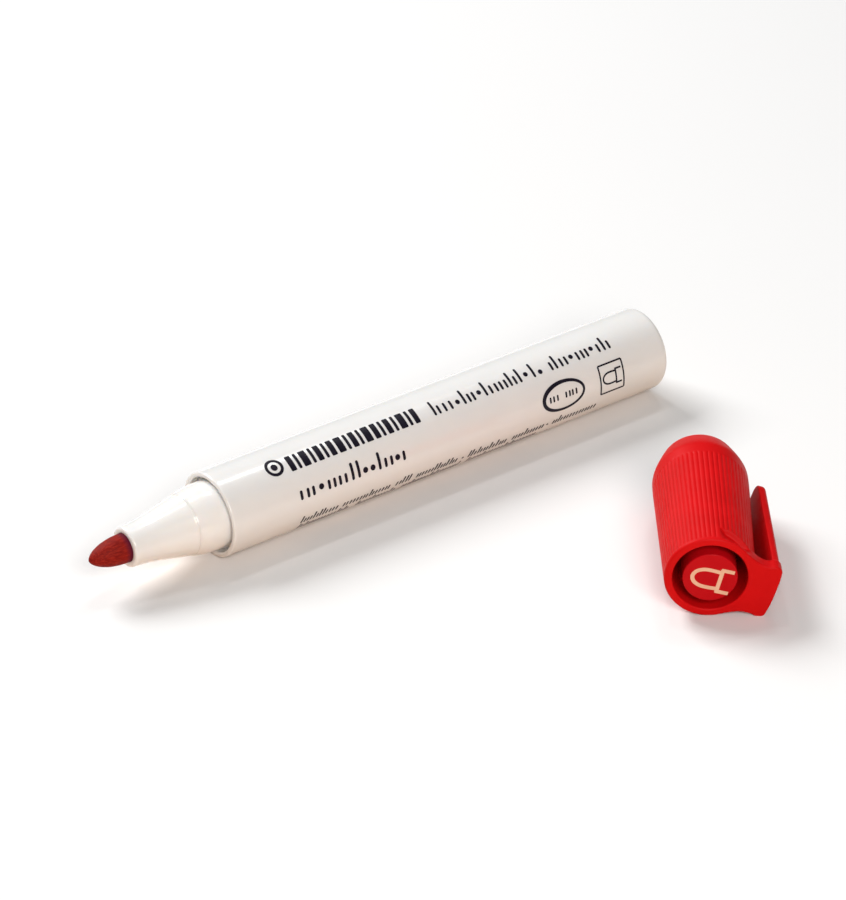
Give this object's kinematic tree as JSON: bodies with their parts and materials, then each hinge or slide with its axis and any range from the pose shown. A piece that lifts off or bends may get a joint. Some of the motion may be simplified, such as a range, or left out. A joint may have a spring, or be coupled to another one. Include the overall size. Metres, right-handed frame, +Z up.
{
  "type": "whiteboard marker",
  "caption": "Dry-wipe whiteboard marker with a white barrel, a red bullet nib and a ribbed red clip cap lying beside it.",
  "frame": {"origin": "on the underside of the barrel, on the surface the marker lies on, half way along the barrel", "axes": "+X along the barrel towards its closed rear end (the nib points to -X), +Z up, -Y towards the cap lying beside it"},
  "size_m": [0.1287, 0.0873, 0.0177],
  "materials": {
    "barrel_white": "smooth glossy white polypropylene",
    "holder_white": "smooth glossy natural-white polypropylene, slightly translucent",
    "nib_red": "ink-soaked bonded fibre, matte",
    "inked_fibre": "ink-soaked fibre bundle",
    "reservoir_film": "thin wrapped film",
    "cap_red": "satin-gloss red polypropylene with fine lengthwise ribs",
    "inner_cap_red": "satin-gloss red polypropylene",
    "print_dark": "dark screen-printed ink film",
    "print_cream": "cream hot-stamped ink film"
  },
  "bodies": {
    "marker": {"barrel": "barrel_white", "nib_holder": "holder_white", "reservoir_core": "inked_fibre", "reservoir_film": "reservoir_film"},
    "nib": {"nib": "nib_red"},
    "cap": {"cap_shell": "cap_red", "inner_cap": "inner_cap_red"}
  },
  "joints": [
    {"name": "cap_carry", "type": "hinge", "parent": "marker", "child": "cap", "pos_m": [0.01189, 0.10143, 0], "axis": [0, 0, 1], "range_deg": [-52.5, 0]},
    {"name": "nib_pull", "type": "slide", "parent": "marker", "child": "nib", "axis": [-1, 0, 0], "range_m": [0, 0.018]}
  ]
}
